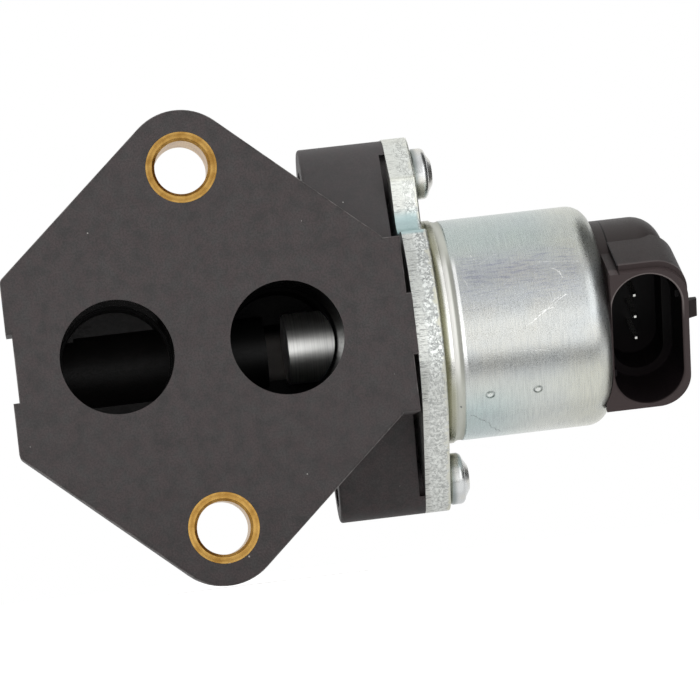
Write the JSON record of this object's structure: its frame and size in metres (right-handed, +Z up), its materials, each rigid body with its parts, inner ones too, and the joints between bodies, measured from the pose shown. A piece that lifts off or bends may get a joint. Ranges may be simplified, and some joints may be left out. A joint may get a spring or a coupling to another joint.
{
  "type": "idle air control valve",
  "caption": "Flange-mounted engine idle air valve: moulded body with air ports and brass bolt bushes, zinc-plated solenoid can and an angled plug socket.",
  "frame": {"origin": "on the flange face, midway between the two bolt holes", "axes": "+X along the solenoid towards the connector, -Y out of the flange face, +Z up the row of bolt holes"},
  "size_m": [0.0932, 0.0393, 0.0626],
  "materials": {
    "valve_body": "black glass-filled moulding, dull",
    "upper_bush": "turned brass",
    "lower_bush": "turned brass",
    "valve_seat": "black moulded ring",
    "valve_spool": "fine turned",
    "plunger_rod": "ground",
    "armature": "turned soft iron",
    "return_spring": "drawn spring wire",
    "pole_piece": "turned soft iron",
    "guide_bush": "sintered bronze",
    "solenoid_plate": "zinc plated, sheared edges",
    "body_screws": "bright zinc plated",
    "solenoid_can": "drawn and zinc plated, lightly scratched",
    "coil_bobbin": "natural moulding",
    "coil_winding": "enamelled copper wire",
    "flux_washer": "turned soft iron",
    "stop_washer": "moulded rubber",
    "connector_housing": "black moulding, slightly shiny",
    "body_seal": "moulded rubber",
    "bobbin_seal": "moulded rubber",
    "terminal_1": "tin plated",
    "terminal_2": "tin plated",
    "terminal_3": "tin plated"
  },
  "bodies": {
    "housing": {"valve_body": "valve_body", "upper_bush": "upper_bush", "lower_bush": "lower_bush", "valve_seat": "valve_seat", "return_spring": "return_spring", "pole_piece": "pole_piece", "guide_bush": "guide_bush", "solenoid_plate": "solenoid_plate", "body_screws": "body_screws", "solenoid_can": "solenoid_can", "coil_bobbin": "coil_bobbin", "coil_winding": "coil_winding", "flux_washer": "flux_washer", "stop_washer": "stop_washer", "connector_housing": "connector_housing", "body_seal": "body_seal", "bobbin_seal": "bobbin_seal", "terminal_1": "terminal_1", "terminal_2": "terminal_2", "terminal_3": "terminal_3"},
    "plunger": {"valve_spool": "valve_spool", "plunger_rod": "plunger_rod", "armature": "armature"}
  },
  "joints": [
    {"name": "plunger_slide", "type": "slide", "parent": "housing", "child": "plunger", "axis": [1, 0, 0], "range_m": [-0.0025, 0], "stiffness_N_per_m": 600, "springref_m": 0.004, "deforming": ["return_spring"]}
  ]
}
